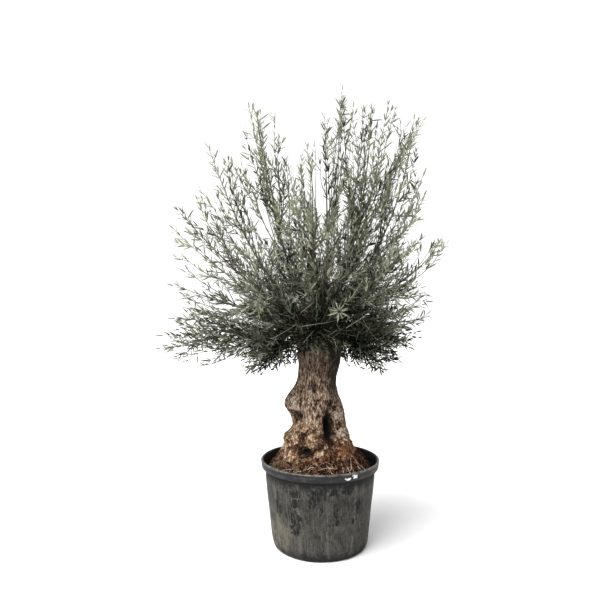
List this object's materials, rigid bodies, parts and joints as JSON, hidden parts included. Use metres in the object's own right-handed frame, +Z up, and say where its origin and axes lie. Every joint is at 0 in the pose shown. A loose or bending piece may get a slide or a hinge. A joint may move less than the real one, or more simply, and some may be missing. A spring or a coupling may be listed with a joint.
{
  "type": "olive bonsai tree in a pot",
  "caption": "Old burled olive trunk with a loose crown of narrow grey-green leaves on upright shoots, planted in a tapering round black nursery pot with a rounded rim.",
  "frame": {"origin": "centre of the pot's flat underside", "axes": "+Z up along the trunk, +X to the right and -Y towards the viewer when seen from the front"},
  "size_m": [1.974, 1.6015, 3.07],
  "materials": {
    "pot": "dusty black moulded plastic with dried splashes and scuffs",
    "soil": "damp reddish-brown potting soil with straw and fine roots",
    "bark": "rough old bark, flaking and burled",
    "bough_bark": "young grey-brown bark",
    "foliage": "grey-green leaves with silvery undersides on pale twigs"
  },
  "bodies": {
    "root": {"pot": "pot", "soil": "soil", "trunk": "bark", "tall_centre_bough": "bough_bark", "tall_left_bough": "bough_bark", "tall_mid_right_bough": "bough_bark", "tall_right_bough": "bough_bark", "high_left_bough": "bough_bark", "front_high_bough": "bough_bark", "back_high_bough": "bough_bark", "upper_left_bough": "bough_bark", "middle_left_bough": "bough_bark", "front_left_bough": "bough_bark", "front_middle_bough": "bough_bark", "front_right_bough": "bough_bark", "middle_right_bough": "bough_bark", "back_right_bough": "bough_bark", "back_middle_bough": "bough_bark", "back_left_bough": "bough_bark", "tall_centre_leaves": "foliage", "tall_left_leaves": "foliage", "tall_mid_right_leaves": "foliage", "tall_right_leaves": "foliage", "high_left_leaves": "foliage", "front_high_leaves": "foliage", "back_high_leaves": "foliage", "upper_left_leaves": "foliage", "middle_left_leaves": "foliage", "front_left_leaves": "foliage", "front_middle_leaves": "foliage", "front_right_leaves": "foliage", "middle_right_leaves": "foliage", "back_right_leaves": "foliage", "back_middle_leaves": "foliage", "back_left_leaves": "foliage", "low_left_leaves": "foliage", "hanging_left_leaves": "foliage", "front_low_leaves": "foliage", "hanging_right_leaves": "foliage", "low_right_leaves": "foliage", "back_low_right_leaves": "foliage", "back_low_leaves": "foliage", "back_low_left_leaves": "foliage"}
  },
  "joints": []
}
